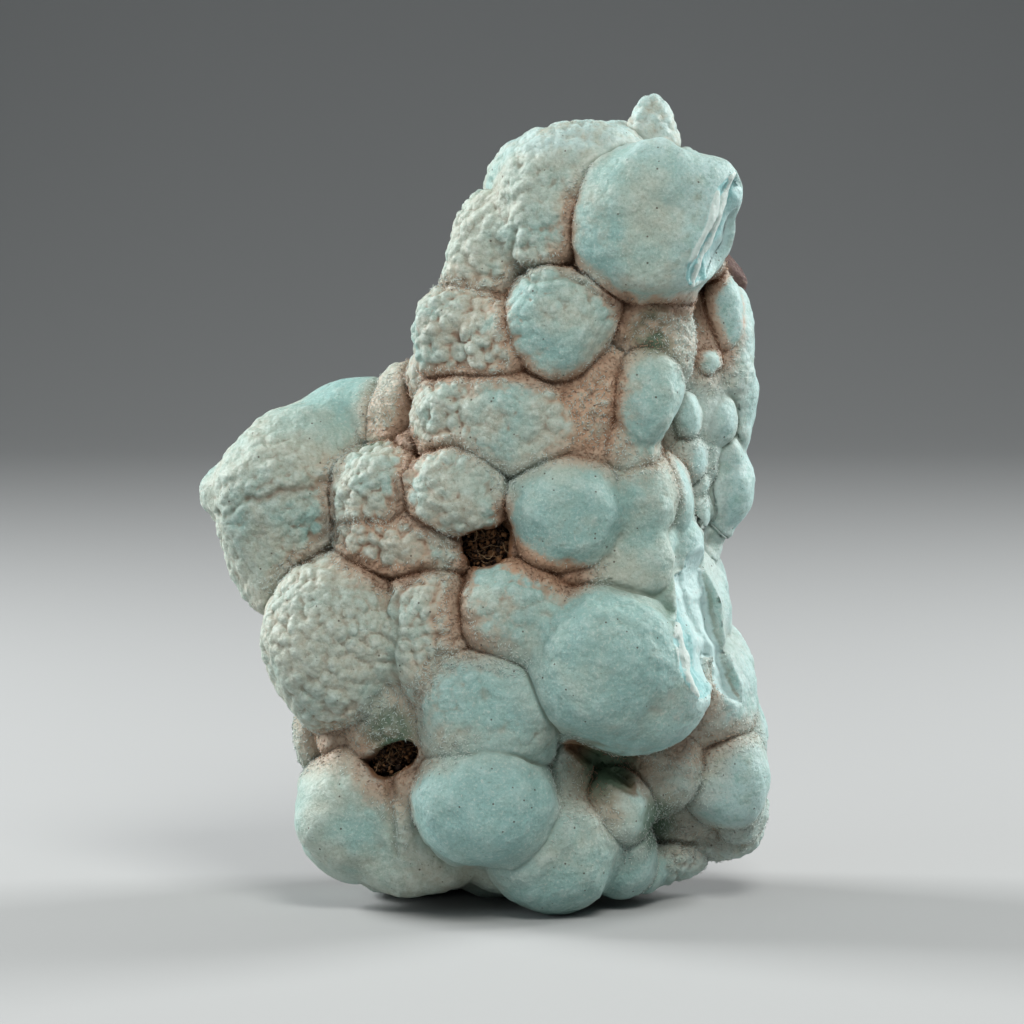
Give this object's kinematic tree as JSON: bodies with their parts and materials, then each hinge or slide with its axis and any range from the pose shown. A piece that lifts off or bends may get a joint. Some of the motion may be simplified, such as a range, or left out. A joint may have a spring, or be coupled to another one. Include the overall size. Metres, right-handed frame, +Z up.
{
  "type": "blue aragonite specimen",
  "caption": "Mineral specimen: a pale blue-green, grape-like crust of tightly packed lobes on a slab of brown host rock, standing upright on its flat underside.",
  "frame": {"origin": "under the middle of the specimen's bounding box, on the surface that it stands on", "axes": "+Z up, from the underside to the broken spike at the top; +X to the right as seen from the lobed face; +Y away from the viewer, from the lobed face to the host rock"},
  "size_m": [0.0864, 0.0602, 0.1209],
  "materials": {
    "aragonite": "matt to silky, finely crystalline, brown-stained in the creases",
    "host_rock": "rough broken rock",
    "earth": "loose, matt, crumbly"
  },
  "bodies": {
    "root": {"aragonite": "aragonite", "host_rock": "host_rock", "upper_pit_earth": "earth", "lower_pit_earth": "earth"}
  },
  "joints": []
}
